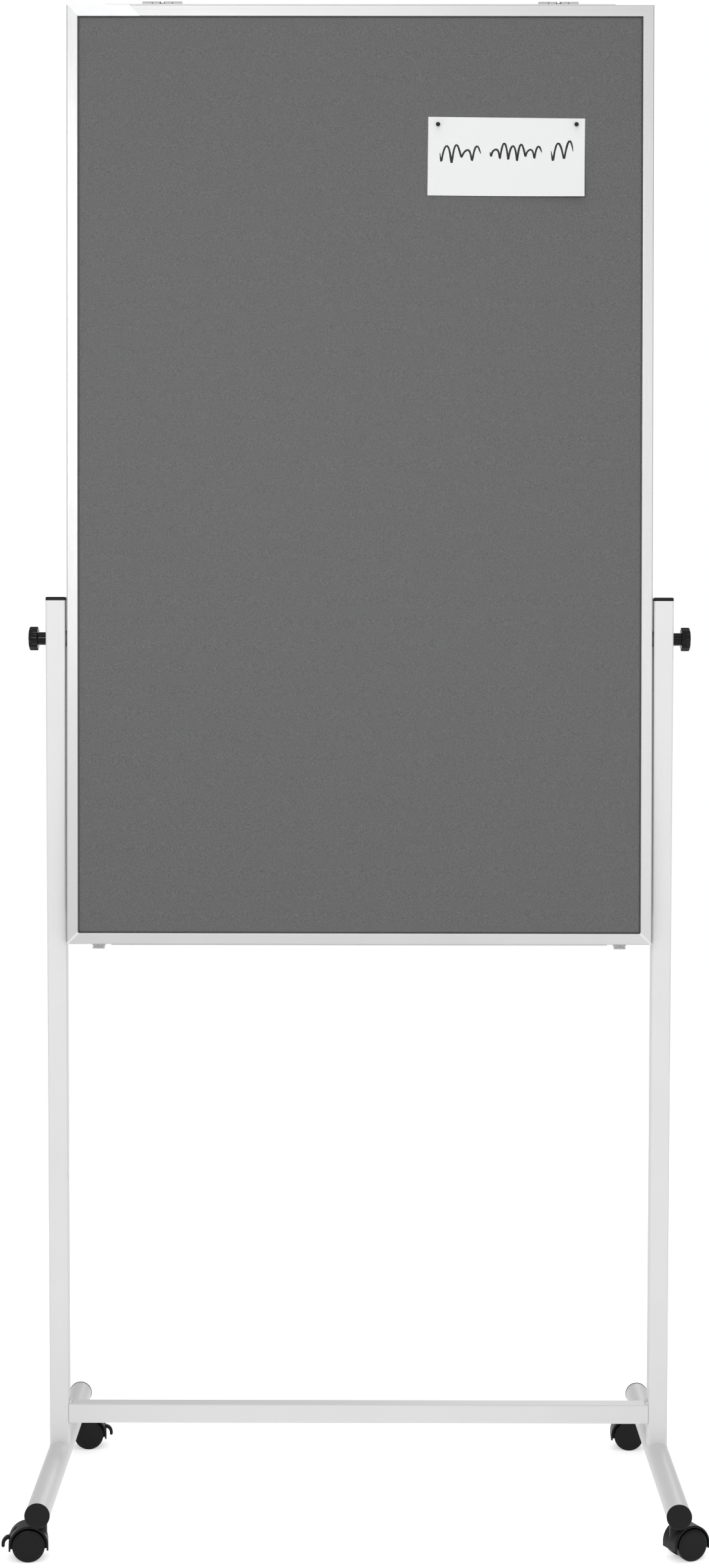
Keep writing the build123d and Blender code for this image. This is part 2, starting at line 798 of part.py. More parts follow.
# ---------------------------------------------------------------- casters
# Each caster is drawn on a plane through its stem: local x points from the stem to the
# axle and local y along the axle.
hood_top = 49.6
hood_round = 1.4
boss_radius = 8.0
leg_drop = 6.0
axle_radius = 2.5
axle_half = 14.0
hub_radius = 5.5
disc_gauge = 2.5
tread_gauge = 3.0
tread_edge = 0.8
disc_bevel = 1.9
lever_pivot = (18.0, 6.0)    # from the axle, along local x and up
lever_half_width = 3.0
lever_gauge = 4.2
lever_boss_radius = 3.2
lever_relief_radius = 4.4
lever_spine = [lever_pivot, (24.4, 7.9), (28.6, 5.4), (30.6, 1.4), (30.8, -2.0)]
lever_slot = [(13.0, 2.0), (30.0, -3.0), (30.0, 12.0), (16.0, 23.0), (13.0, 17.0)]
trunnion_radius = 1.5
trunnion_half = 6.2


def arch_outline(radius):
    """Half round over straight legs, around the axle."""
    with BuildLine() as outline:
        Polyline((-radius, 0), (-radius, -leg_drop), (radius, -leg_drop), (radius, 0))
        ThreePointArc((radius, 0), (0, radius), (-radius, 0))
    make_face(outline.edges())


for corner, turn in caster_turn.items():
    stem_x = -post_centre_x if corner.endswith("left") else post_centre_x
    stem_at_y = -stem_y if corner.startswith("front") else stem_y
    trail_dir = Vector(cos(radians(turn)), sin(radians(turn)), 0)
    axle_dir = Vector(-sin(radians(turn)), cos(radians(turn)), 0)
    stem_foot = Vector(stem_x, stem_at_y, 0)
    axle_centre = stem_foot + trail_dir * caster_trail + Vector(0, 0, wheel_radius)
    # square to the axle: local x is along the trail and local y is up
    axle_plane = Plane(origin=axle_centre, x_dir=trail_dir, z_dir=axle_dir * -1)
    ground_plane = Plane(origin=stem_foot, x_dir=trail_dir, z_dir=(0, 0, 1))
    braked = corner in braked_casters

    with BuildPart() as hood:
        with BuildSketch(axle_plane):
            arch_outline(hood_radius)
        extrude(amount=hood_half_width, both=True)
        _, leg_edges, arch_edges = (
            hood.faces().filter_by(Axis(axle_centre, axle_dir)).edges().group_by(Axis.Z)
        )
        fillet(leg_edges + arch_edges, radius=hood_round)
        with BuildSketch(ground_plane.offset(hood_top)):
            Circle(boss_radius)
        extrude(amount=-(hood_top - wheel_radius))
        for face in (-1, 1):
            with BuildSketch(axle_plane.offset(face * web_half_width)):
                arch_outline(hood_radius - hood_wall)
            extrude(amount=face * (hood_half_width - web_half_width), mode=Mode.SUBTRACT)
        with BuildSketch(axle_plane):
            Circle(axle_radius)
        extrude(amount=web_half_width, both=True, mode=Mode.SUBTRACT)
        with BuildSketch(ground_plane.offset(stem_bottom)):
            Circle(stud_radius + running_gap)
        extrude(amount=hood_top - stem_bottom, mode=Mode.SUBTRACT)
        if braked:
            with BuildSketch(axle_plane):
                with Locations(lever_pivot):
                    Circle(lever_relief_radius)
                with BuildLine():
                    Polyline(*lever_slot, close=True)
                make_face()
            extrude(amount=lever_half_width + loose_gap, both=True, mode=Mode.SUBTRACT)
            with BuildSketch(axle_plane):
                with Locations(lever_pivot):
                    Circle(trunnion_radius + running_gap)
            extrude(amount=web_half_width, both=True, mode=Mode.SUBTRACT)
    save(hood, f"{corner}_hood")

    with BuildPart() as axle:
        with BuildSketch(axle_plane):
            Circle(axle_radius)
        extrude(amount=axle_half, both=True)
    save(axle, f"{corner}_axle")

    # The wheels are cups: a tread ring, a closed outer disc and a hub on the axle.
    for face, suffix in ((1, "wheel_near"), (-1, "wheel_far")):
        section = Plane(origin=axle_centre, x_dir=(0, 0, 1), z_dir=trail_dir * face)
        inside = caster_half_width - wheel_width
        outside = caster_half_width
        with BuildPart() as wheel:
            with BuildSketch(section):
                with BuildLine():
                    Polyline(
                        (axle_radius + running_gap, inside),
                        (hub_radius, inside),
                        (hub_radius, outside - disc_gauge),
                        (wheel_radius - tread_gauge, outside - disc_gauge),
                        (wheel_radius - tread_gauge, inside),
                        (wheel_radius - tread_edge, inside),
                        (wheel_radius, inside + tread_edge),
                        (wheel_radius, outside - 2 * tread_edge),
                        (wheel_radius - tread_edge, outside - tread_edge),
                        (wheel_radius - disc_bevel, outside - tread_edge / 2),
                        (wheel_radius - disc_bevel - tread_edge, outside),
                        (0, outside),
                        (0, axle_half + loose_gap),
                        (axle_radius + running_gap, axle_half + loose_gap),
                        close=True,
                    )
                make_face()
            revolve(axis=Axis(axle_centre, section.y_dir))
        save(wheel, f"{corner}_{suffix}")

    if braked:
        with BuildPart() as lever:
            with BuildSketch(axle_plane):
                with BuildLine():
                    Spline(*lever_spine)
                trace(line_width=lever_gauge)
                with Locations(lever_pivot):
                    Circle(lever_boss_radius)
                with Locations(lever_spine[-1]):
                    Circle(lever_gauge / 2)
            extrude(amount=lever_half_width, both=True)
            with BuildSketch(axle_plane):
                with Locations(lever_pivot):
                    Circle(trunnion_radius)
            extrude(amount=trunnion_half, both=True)
        save(lever, f"{corner}_brake_lever")
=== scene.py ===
# %% [markdown]
# # A rolling two-sided board
# The real object is an office pin board: grey felt in an aluminium frame, turning between two
# powder-coated posts on a welded stand with four twin-wheel casters. A whiteboard, a paper
# clamp and a pen tray are on its back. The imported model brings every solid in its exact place,
# so nothing here is measured by eye. This notebook gives each solid its finish, and makes finer
# meshes for the pieces whose solids are only simple stand-ins: felt, card, pins, knobs, wheels,
# bumpers, screws and welds.

# %% Load the fixed frame
import json
import math
import random

import bmesh
import bpy
from mathutils import Matrix, Vector


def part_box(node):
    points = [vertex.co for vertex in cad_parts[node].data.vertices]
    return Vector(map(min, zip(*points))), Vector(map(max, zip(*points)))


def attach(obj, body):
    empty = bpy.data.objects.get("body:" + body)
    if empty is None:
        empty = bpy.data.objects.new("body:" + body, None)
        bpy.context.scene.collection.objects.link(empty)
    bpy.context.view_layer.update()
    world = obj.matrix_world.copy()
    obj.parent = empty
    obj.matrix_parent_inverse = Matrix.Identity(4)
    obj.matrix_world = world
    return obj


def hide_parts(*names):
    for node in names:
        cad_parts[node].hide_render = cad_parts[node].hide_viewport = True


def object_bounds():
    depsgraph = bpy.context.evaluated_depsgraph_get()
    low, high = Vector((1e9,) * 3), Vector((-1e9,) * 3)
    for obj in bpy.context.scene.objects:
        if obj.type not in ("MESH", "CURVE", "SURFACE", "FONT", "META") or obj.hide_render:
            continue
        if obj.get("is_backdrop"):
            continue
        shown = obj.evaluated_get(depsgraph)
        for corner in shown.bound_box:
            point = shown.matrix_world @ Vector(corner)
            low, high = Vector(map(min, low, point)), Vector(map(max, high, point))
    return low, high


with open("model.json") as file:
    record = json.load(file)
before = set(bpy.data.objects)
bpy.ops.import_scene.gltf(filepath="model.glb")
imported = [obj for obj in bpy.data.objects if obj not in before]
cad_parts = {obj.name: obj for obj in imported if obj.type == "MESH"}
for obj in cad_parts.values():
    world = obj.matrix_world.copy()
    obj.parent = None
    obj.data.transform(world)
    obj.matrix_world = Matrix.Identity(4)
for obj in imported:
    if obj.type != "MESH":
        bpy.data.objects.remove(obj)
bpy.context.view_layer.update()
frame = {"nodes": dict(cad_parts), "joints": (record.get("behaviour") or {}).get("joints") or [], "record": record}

# %% [markdown]
# ## Finding places on a leaning board
# The board leans back by a few degrees, so its pieces are easiest to place in its own
# directions: across it, up it and out of its felt side. The model's joints already know them:
# the board slides along its own up direction and turns about a sideways axis. Two short
# functions turn board measures into places in the room, and back again.

# %% Board directions and measures
MM = 0.001
joints = {joint["name"]: joint for joint in frame["joints"]}
turning_axis = Vector(joints["board_turn"]["pos_m"])
board_up = Vector(joints["board_height"]["axis"]).normalized()
board_out = Vector((1, 0, 0)).cross(board_up)
lean_angle = math.degrees(math.asin(board_out.z))


def on_board(across, up, out=0.0):
    """The place this far across, up and out of the board, from the middle of its turning axis."""
    return turning_axis + Vector((across, 0, 0)) + board_up * up + board_out * out


def board_measure(point):
    """How far a place is across, up and out of the board."""
    arm = Vector(point) - turning_axis
    return Vector((arm.x, arm.dot(board_up), arm.dot(board_out)))


def middle(node):
    """The middle of a solid's box."""
    low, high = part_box(node)
    return (low + high) / 2


print("the board leans back by", round(lean_angle, 2), "degrees")

# %% [markdown]
# ## Writing nodes as sums
# A finish is a small tree of nodes. Adding them by hand in the editor is fine for one material,
# but nineteen are easier to read as sums such as `0.4 + grain * 0.1`. The class below wraps a
# node's output and turns each sum into a Math node. One method makes every other node: it takes
# the node's type, its settings, and the values or links of its sockets, in that order, because
# some settings change which sockets a node has.


# %% A wire and a tree
class Wire:
    """The output of a node. A sum on it adds a Math node."""

    def __init__(self, tree, socket):
        self.tree, self.socket = tree, socket

    def maths(self, operation, first, second=0.0):
        return self.tree.add("ShaderNodeMath", {"operation": operation}, {0: first, 1: second})

    def __add__(self, other):
        return self.maths("ADD", self, other)

    def __sub__(self, other):
        return self.maths("SUBTRACT", self, other)

    def __rsub__(self, other):
        return self.maths("SUBTRACT", other, self)

    def __mul__(self, other):
        return self.maths("MULTIPLY", self, other)

    def __truediv__(self, other):
        return self.maths("DIVIDE", self, other)

    def __pow__(self, other):
        return self.maths("POWER", self, other)

    __radd__ = __add__
    __rmul__ = __mul__


class Tree:
    """A node tree being written, for a material or for geometry."""

    def __init__(self, group):
        self.group = group

    def add(self, kind, settings=None, sockets=None, output=0):
        """Make a node: its settings first, then its sockets' values or links."""
        node = self.group.nodes.new(kind)
        for setting, value in (settings or {}).items():
            setattr(node, setting, value)
        for key, value in (sockets or {}).items():
            self.feed(node.inputs[key], value)
        return Wire(self, node.outputs[output]) if node.outputs else None

    def feed(self, socket, value):
        """Give a socket a value, or link a wire to it."""
        if isinstance(value, Wire):
            self.group.links.new(value.socket, socket)
        else:
            socket.default_value = value


class Finish(Tree):
    """A material: one Principled shader and what feeds it."""

    def __init__(self, name, **constants):
        self.material = bpy.data.materials.new(name)
        self.material.use_nodes = True
        super().__init__(self.material.node_tree)
        self.shader = self.group.nodes["Principled BSDF"]
        self.place = self.add("ShaderNodeTexCoord", output="Object")
        for socket, value in constants.items():
            self.set(socket, value)

    def set(self, socket, value):
        """Feed one of the shader's sockets, named with underscores for its spaces."""
        label = socket.replace("_", " ").title().replace("Ior", "IOR")
        self.feed(self.shader.inputs[label], value)

    def stretched(self, scale, turn=(0.0, 0.0, 0.0)):
        """The place, with each direction scaled by its own number after a turn."""
        return self.add(
            "ShaderNodeMapping",
            {"vector_type": "POINT"},
            {"Vector": self.place, "Rotation": turn, "Scale": scale},
        )

    def grain(self, per_metre, detail=2.0, rough=0.5, place=None):
        """Soft random grain from 0 to 1, with this many grains in a metre."""
        return self.add(
            "ShaderNodeTexNoise",
            {"noise_dimensions": "3D"},
            {"Vector": place or self.place, "Scale": per_metre, "Detail": detail,
             "Roughness": rough},
        )

    def between(self, mask, low, high):
        """A colour that goes from low to high as the mask goes from 0 to 1."""
        return self.add(
            "ShaderNodeMix", {"data_type": "RGBA"}, {0: mask, 6: low, 7: high}, output=2
        )

    def contrast(self, mask, low, high):
        """Stretch a mask so that low becomes 0 and high becomes 1."""
        return self.add(
            "ShaderNodeMapRange", {"clamp": True},
            {"Value": mask, "From Min": low, "From Max": high},
        )

    def relief(self, height, depth, strength=1.0):
        """Raise the surface by height times depth, in metres, through the shading."""
        bump = self.add(
            "ShaderNodeBump", {}, {"Strength": strength, "Distance": depth, "Height": height}
        )
        self.set("Normal", bump)


def grey(level, warm=0.0):
    """A neutral colour in linear light; warm lifts red and lowers blue by a small share."""
    return (level * (1 + warm), level, level * (1 - warm), 1.0)


finishes = {}
print("tools for finishes ready")

# %% [markdown]
# ## Powder coat
# The posts, the crossbar and the feet are sprayed with dry powder that melts in an oven. It
# flows into a satin skin with a very fine orange peel, and lies a little thicker in some places.
# A plain grey would look like card. So two sizes of grain make the peel in the relief, and a
# much larger, weak grain moves the colour and the roughness by a few percent.

# %% Powder coat finish
powder = Finish("powder_coat", metallic=0.0, coat_weight=0.12, coat_roughness=0.3)
flow = powder.grain(9, detail=3)
peel = powder.grain(650, detail=2)
speck = powder.grain(2600, detail=1)
powder.set("base_color", powder.between(flow, grey(0.572, -0.001), grey(0.620, -0.001)))
powder.set("roughness", 0.40 + flow * 0.10 + peel * 0.04)
powder.relief(peel + speck * 0.35, 0.00006)
finishes["powder_coat"] = powder.material
print("powder coat:", len(powder.group.nodes), "nodes")

# %% [markdown]
# ## Anodised aluminium
# The frame is drawn through a die, which leaves faint lines along its length, and then anodised
# to a satin silver. The lines could be cut in the mesh, but they are only a few hundredths of a
# millimetre deep, so they are grain stretched hard along the member. Uprights and rails need
# their stretch in different directions, so the function below makes one finish for each.


# %% Anodised finishes
def anodised(name, scale):
    """Satin silver with die lines; scale is small along the member."""
    silver = Finish(name, metallic=0.86)
    lines = silver.grain(1, detail=2, place=silver.stretched(scale))
    broad = silver.grain(1, detail=1, place=silver.stretched([s * 0.22 for s in scale]))
    cloud = silver.grain(6, detail=2)
    silver.set("base_color", silver.between(cloud, grey(0.448, -0.002), grey(0.50, -0.001)))
    silver.set("roughness", 0.36 + lines * 0.10 + broad * 0.06)
    silver.relief(lines * 0.6 + broad, 0.00004)
    return silver.material


ALONG, ACROSS = 3.0, 1900.0
finishes["anodised_upright"] = anodised("anodised_upright", (ACROSS, ACROSS, ALONG))
finishes["anodised_rail"] = anodised("anodised_rail", (ALONG, ACROSS, ACROSS))
print("anodised aluminium: one for uprights, one for rails")

# %% [markdown]
# ## Moulded plastics
# Caps, knobs, hoods, wheels, trims and clips are injection moulded. What tells one from another
# is their colour, their gloss and how coarse the mould was etched. So one function makes them
# all: etched grain in the relief, and slow patches where the plastic cooled more slowly and
# shines a little more.


# %% Plastic finishes
def moulded(name, level, gloss, etch, depth, warm=0.0, **constants):
    """A moulded plastic: etch is grains in a metre and depth their height in metres."""
    plastic = Finish(name, **constants)
    patch = plastic.grain(38, detail=2)
    skin = plastic.grain(etch, detail=2)
    plastic.set(
        "base_color", plastic.between(patch, grey(level * 0.92, warm), grey(level * 1.08, warm))
    )
    plastic.set("roughness", gloss + patch * 0.07 + skin * 0.05)
    plastic.relief(skin, depth)
    return plastic.material


PLASTICS = {
    "black_plastic": (0.0065, 0.42, 1500, 0.00009),
    "knob_black": (0.002, 0.13, 1700, 0.00001),
    "caster_plastic": (0.006, 0.36, 1900, 0.00005),
    "wheel_plastic": (0.005, 0.32, 1300, 0.00004),
    "slide_plastic": (0.05, 0.45, 1200, 0.00004),
    "corner_plastic": (0.60, 0.38, 1600, 0.00004),
    "trim_plastic": (0.70, 0.36, 1600, 0.00003),
    "grey_plastic": (0.42, 0.40, 1400, 0.00006),
    "pin_black": (0.012, 0.16, 900, 0.00001),
}
for slot, (level, gloss, etch, depth) in PLASTICS.items():
    shine = 0.5 if level > 0.02 else 0.16
    finishes[slot] = moulded(slot, level, gloss, etch, depth, -0.01, specular_ior_level=shine)
finishes["bumper_plastic"] = moulded(
    "bumper_plastic", 0.52, 0.30, 1200, 0.00003, transmission_weight=0.25, ior=1.47
)
print("moulded plastics:", len(PLASTICS) + 1)

# %% [markdown]
# ## Zinc-plated steel
# Studs, stems, axles, nuts and screws are zinc plated: a cool bright metal with faint cloudy
# spangle. Cells of different brightness would be too strong at this size, so a warped grain
# moves the roughness and only slightly the colour.

# %% Zinc finish
zinc = Finish("zinc_steel", metallic=1.0)
spangle = zinc.contrast(zinc.grain(420, detail=4, rough=0.7), 0.35, 0.68)
zinc.set("base_color", zinc.between(spangle, grey(0.50, -0.02), grey(0.66, -0.01)))
zinc.set("roughness", 0.22 + spangle * 0.16)
zinc.relief(spangle, 0.00002)
finishes["zinc_steel"] = zinc.material

# %% [markdown]
# ## Felt
# The pin board is covered with needled felt: short grey fibres lying in every direction, some
# lighter, some almost black. Hair would be truer but is far too heavy for a board this size. So
# three grains, each stretched in another direction in the plane of the board, cross like
# fibres. Needling also gathers fibres into clumps two or three millimetres across, which is what
# the eye sees from a few steps away, so a coarser grain joins in. The sum gives both the mottled
# colour and the relief, and a slow grain adds the faint cloudy shade of pressed felt.

# %% Felt finish
felt = Finish("grey_felt", sheen_weight=0.06, sheen_roughness=0.45, specular_ior_level=0.9)
FIBRE_WIDTH, FIBRE_LENGTH = 1500.0, 330.0
fibres = None
for turn in (0.35, 1.45, 2.5):
    strand = felt.grain(
        1, detail=3, rough=0.62,
        place=felt.stretched((FIBRE_WIDTH, FIBRE_WIDTH, FIBRE_LENGTH), turn=(0.0, turn, 0.0)),
    )
    fibres = strand if fibres is None else fibres + strand
fibres = felt.contrast(fibres / 3, 0.40, 0.60)
clumps = felt.contrast(felt.grain(760, detail=3, rough=0.62), 0.36, 0.64)
fuzz = felt.grain(3400, detail=2, rough=0.6)
pressed = felt.grain(14, detail=3)
shade = felt.between(fibres * 0.36 + clumps * 0.64, grey(0.002), (0.082, 0.082, 0.087, 1.0))
shade = felt.between(fuzz * 0.20, shade, grey(0.082))
felt.set("base_color", felt.between(pressed * 0.15, shade, grey(0.04)))
felt.set("roughness", 0.42 + fibres * 0.06)
felt.relief(fibres * 0.7 + clumps * 0.5 + fuzz * 0.4, 0.0003, strength=0.7)
finishes["grey_felt"] = felt.material
print("felt:", len(felt.group.nodes), "nodes")

# %% [markdown]
# ## Enamel, card, ink and core
# The whiteboard is glossy enamel with a long soft waviness and faint wiping marks, which show
# only in the gloss. The card is smooth white board with a little fibre. Felt-tip ink soaks in
# and dries matt, a shade lighter where the pen ran dry. The core's raw edge is brown paper.

# %% Sheet and paper finishes
enamel = Finish("whiteboard_enamel", coat_weight=0.5, coat_roughness=0.06, coat_ior=1.5)
wiped = enamel.grain(1, detail=3, place=enamel.stretched((2.2, 2.2, 9.0), turn=(0.0, 0.5, 0.0)))
wave = enamel.grain(24, detail=1)
enamel.set("base_color", enamel.between(wiped, grey(0.80, -0.006), grey(0.84, -0.004)))
enamel.set("roughness", 0.10 + enamel.contrast(wiped, 0.45, 0.75) * 0.10)
enamel.relief(wave, 0.00008)
finishes["whiteboard_enamel"] = enamel.material

card_stock = Finish("white_card", specular_ior_level=0.35)
pulp = card_stock.grain(1400, detail=3, rough=0.6)
card_stock.set("base_color", card_stock.between(pulp, grey(0.61, -0.004), grey(0.655, -0.004)))
card_stock.set("roughness", 0.62 + pulp * 0.12)
card_stock.relief(pulp, 0.00003)
finishes["white_card"] = card_stock.material

ink = Finish("felt_tip_ink", specular_ior_level=0.2)
dry = ink.contrast(ink.grain(900, detail=2), 0.42, 0.72)
ink.set("base_color", ink.between(dry, grey(0.016), grey(0.055)))
ink.set("roughness", 0.75 + dry * 0.1)
finishes["ink"] = ink.material

paper_core = Finish("honeycomb_core")
ply = paper_core.grain(1, detail=3, place=paper_core.stretched((160.0, 1400.0, 160.0)))
paper_core.set(
    "base_color", paper_core.between(ply, (0.21, 0.14, 0.085, 1.0), (0.42, 0.30, 0.19, 1.0))
)
paper_core.set("roughness", 0.85 + ply * 0.1)
paper_core.relief(ply, 0.0002)
finishes["honeycomb_core"] = paper_core.material
print("finishes:", sorted(finishes))

# %% [markdown]
# ## Dressing the solids
# Most solids already have the right shape, so they only get a finish, through their material
# slot. The record names a slot for every solid. Only the aluminium needs a choice, by the way
# each member runs.

# %% Finishes on the solids
UPRIGHTS = ("frame_left", "frame_right")
for part in frame["record"]["subparts"]:
    node, slot = part["node"], part["material_slot"]
    if slot == "anodised_aluminium":
        slot = "anodised_upright" if node in UPRIGHTS else "anodised_rail"
    for material_slot in frame["nodes"][node].material_slots:
        material_slot.material = finishes[slot]
print("dressed", len(frame["nodes"]), "solids")

# %% [markdown]
# ## Making meshes
# Two kinds of mesh come up again and again: free ones, given as points and faces, and turned
# ones, given as a profile that goes round an axis. `shaped` makes the first. It merges doubles,
# points every face outwards and keeps edges sharp where they bend more than a limit. `turned`
# makes the points and faces of the second, with a single point at each pole.


# %% Shaped and turned meshes
def shaped(name, points, faces, sharp=32.0):
    """A mesh object at the origin, with its faces outwards."""
    shell = bmesh.new()
    corners = [shell.verts.new(point) for point in points]
    for face in faces:
        shell.faces.new([corners[i] for i in face])
    bmesh.ops.remove_doubles(shell, verts=shell.verts, dist=1e-7)
    bmesh.ops.recalc_face_normals(shell, faces=shell.faces)
    mesh = bpy.data.meshes.new(name)
    shell.to_mesh(mesh)
    shell.free()
    mesh.shade_smooth()
    mesh.set_sharp_from_angle(angle=math.radians(sharp))
    thing = bpy.data.objects.new(name, mesh)
    bpy.context.scene.collection.objects.link(thing)
    return thing


def turned(profile, centre, axis, zero, steps=64):
    """Points and faces of a profile of (along, radius) pairs turned about an axis."""
    along_axis = Vector(axis).normalized()
    first = (Vector(zero) - along_axis * Vector(zero).dot(along_axis)).normalized()
    second = along_axis.cross(first)
    points, faces, rings = [], [], []
    for along, radius in profile:
        if radius < 1e-9:
            rings.append([len(points)] * steps)
            points.append(Vector(centre) + along_axis * along)
            continue
        rings.append(range(len(points), len(points) + steps))
        for step in range(steps):
            angle = 2 * math.pi * step / steps
            ray = first * math.cos(angle) + second * math.sin(angle)
            points.append(Vector(centre) + along_axis * along + ray * radius)
    for near, far in zip(rings, rings[1:]):
        for step in range(steps):
            after = (step + 1) % steps
            corners = (near[step], near[after], far[after], far[step])
            faces.append(list(dict.fromkeys(corners)))
    return points, faces


def rounded(corner, before, after, radius, steps=4):
    """Profile points that round a corner between two neighbours."""
    corner = Vector(corner)
    start = corner + (Vector(before) - corner).normalized() * radius
    end = corner + (Vector(after) - corner).normalized() * radius
    shares = [step / steps for step in range(steps + 1)]
    return [tuple((1 - s) ** 2 * start + 2 * s * (1 - s) * corner + s * s * end) for s in shares]


def fit(thing, body, slot, *nodes, finish=None):
    """Give a piece its finish, hang it on its body and let it stand for its solids."""
    if finish is not None:
        thing.data.materials.clear()
        thing.data.materials.append(finishes[finish])
    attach(thing, body)
    if nodes:
        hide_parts(*nodes)
    print(thing.name, len(thing.data.polygons), "faces, rides on", body)


# %% [markdown]
# ## Geometry trees
# Some things repeat or follow a rule: screws in a row, ripples along a weld, flutes round a
# knob. Geometry Nodes make them from a few named inputs, and changing one input changes them
# all. The helper starts a tree with its inputs. The other helper runs a tree on an object, with
# the inputs set before the object is first evaluated, and keeps only the plain mesh.

# %% Helpers for geometry trees
SOCKETS = {"float": "NodeSocketFloat", "int": "NodeSocketInt", "object": "NodeSocketObject",
           "material": "NodeSocketMaterial"}


class Recipe(Tree):
    """A geometry tree with named inputs."""

    def __init__(self, name, inputs):
        group = bpy.data.node_groups.new(name, "GeometryNodeTree")
        super().__init__(group)
        group.interface.new_socket("Geometry", in_out="INPUT", socket_type="NodeSocketGeometry")
        group.interface.new_socket("Geometry", in_out="OUTPUT", socket_type="NodeSocketGeometry")
        for label, kind in inputs.items():
            group.interface.new_socket(label, in_out="INPUT", socket_type=SOCKETS[kind])
        self.start = group.nodes.new("NodeGroupInput")

    def given(self, label):
        """The wire of a named input."""
        return Wire(self, self.start.outputs[label])

    def end(self, geometry):
        """Realize, paint and hand out the geometry."""
        real = self.add("GeometryNodeRealizeInstances", {}, {"Geometry": geometry})
        painted = self.add(
            "GeometryNodeSetMaterial", {}, {"Geometry": real, "Material": self.given("Finish")}
        )
        self.add("NodeGroupOutput", {}, {"Geometry": painted})


def cooked(thing, recipe, **values):
    """Run a recipe on an object and keep the plain mesh it makes."""
    step = thing.modifiers.new(recipe.group.name, "NODES")
    step.node_group = recipe.group
    for item in recipe.group.interface.items_tree:
        label = item.name.lower().replace(" ", "_")
        if item.in_out == "INPUT" and label in values:
            step[item.identifier] = values[label]
    ready = thing.evaluated_get(bpy.context.evaluated_depsgraph_get())
    mesh = bpy.data.meshes.new_from_object(ready)
    thing.modifiers.remove(step)
    thing.data = mesh
    return thing


# %% [markdown]
# ## The felt
# The felt is glued over the core and tucked under the frame's lips. Close to the lips it is
# pressed down a little, and that leaves the thin dark line all round. A flat box would meet the
# lip with no line at all. So the cover is made of rings: flat across the middle, then rolling
# down into a narrow groove, and on under the lip.

# %% Felt cover
FELT_TUCK = 1.3 * MM          # how deep the groove is
LIP_HIDES = 5.3 * MM          # width of felt under the lips
low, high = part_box("felt_cover")
felt_middle = board_measure((low + high) / 2)
felt_half_width = (high.x - low.x) / 2
felt_half_height = (high.z - low.z - 1.6 * MM * board_out.z) / 2 / board_up.z
felt_back, felt_face = felt_middle.z - 0.8 * MM, felt_middle.z + 0.8 * MM
ROLL = [(0.0, -FELT_TUCK), (4.9, -FELT_TUCK), (5.9, -FELT_TUCK), (6.2, -FELT_TUCK * 0.72),
        (6.6, -FELT_TUCK * 0.34), (7.3, -FELT_TUCK * 0.12), (8.4, -FELT_TUCK * 0.02), (10.0, 0.0)]
points, faces = [], []


def felt_ring(inset, out):
    """Four corners of a ring round the felt."""
    wide, tall = felt_half_width - inset, felt_half_height - inset
    first = len(points)
    for across, up in ((-wide, -tall), (wide, -tall), (wide, tall), (-wide, tall)):
        points.append(on_board(across, felt_middle.y + up, out))
    return list(range(first, first + 4))


rings = [felt_ring(0.0, felt_back)]
rings += [felt_ring(inset * MM, felt_face + drop) for inset, drop in ROLL]
faces.append(rings[0])
for near, far in zip(rings, rings[1:]):
    faces += [[near[i], near[(i + 1) % 4], far[(i + 1) % 4], far[i]] for i in range(4)]
faces.append(rings[-1])
felt_cover = shaped("felt_panel", points, faces, sharp=60)
fit(felt_cover, "board", "grey_felt", "felt_cover", finish="grey_felt")

# %% [markdown]
# ## The pinned card
# A stiff card held by two pins hangs straight at the top and springs off the felt towards its
# lower right corner, where it throws a soft shadow. Cloth would crease and sag, which card does
# not. So the card is a fine grid bent by a smooth rule, with its real thickness added behind it.

# %% Card surface
CARD_THICKNESS = 0.35 * MM
card_low, card_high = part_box("note_card")
card_place = board_measure((card_low + card_high) / 2)
card_half_width, card_half_height = 100.0 * MM, 50.0 * MM
card_turn = math.radians(-0.6)


def card_lift(across, down):
    """How far the card stands off the felt; both run from 0 at the top left to 1."""
    spring = 7.0 * MM * (across ** 2.4) * (0.25 + 0.75 * down ** 1.6)
    curl = 0.9 * MM * (down ** 2.0) * (1 - 0.5 * across)
    return 0.12 * MM + (spring + curl) * (0.12 + 0.88 * down)


def on_card(across, down, above=0.0):
    """A place on the card, from shares across and down it."""
    x = (2 * across - 1) * card_half_width
    y = (1 - 2 * down) * card_half_height
    turned_x = x * math.cos(card_turn) - y * math.sin(card_turn)
    turned_y = x * math.sin(card_turn) + y * math.cos(card_turn)
    out = felt_face + card_lift(across, down) + above
    return on_board(card_place.x + turned_x, card_place.y + turned_y, out)


COLUMNS, ROWS = 48, 24
points = [on_card(i / COLUMNS, j / ROWS, above)
          for above in (CARD_THICKNESS, 0.0) for j in range(ROWS + 1) for i in range(COLUMNS + 1)]
layer = (COLUMNS + 1) * (ROWS + 1)
faces = []
for back in (0, layer):
    for j in range(ROWS):
        for i in range(COLUMNS):
            a = back + j * (COLUMNS + 1) + i
            faces.append([a, a + 1, a + COLUMNS + 2, a + COLUMNS + 1])
rim = ([(i, 0) for i in range(COLUMNS)] + [(COLUMNS, j) for j in range(ROWS)]
       + [(i, ROWS) for i in range(COLUMNS, 0, -1)] + [(0, j) for j in range(ROWS, 0, -1)])
rim = [j * (COLUMNS + 1) + i for i, j in rim]
faces += [[a, b, b + layer, a + layer] for a, b in zip(rim, rim[1:] + rim[:1])]
pinned_card = shaped("pinned_card", points, faces, sharp=50)
fit(pinned_card, "board", "white_card", "note_card", finish="white_card")

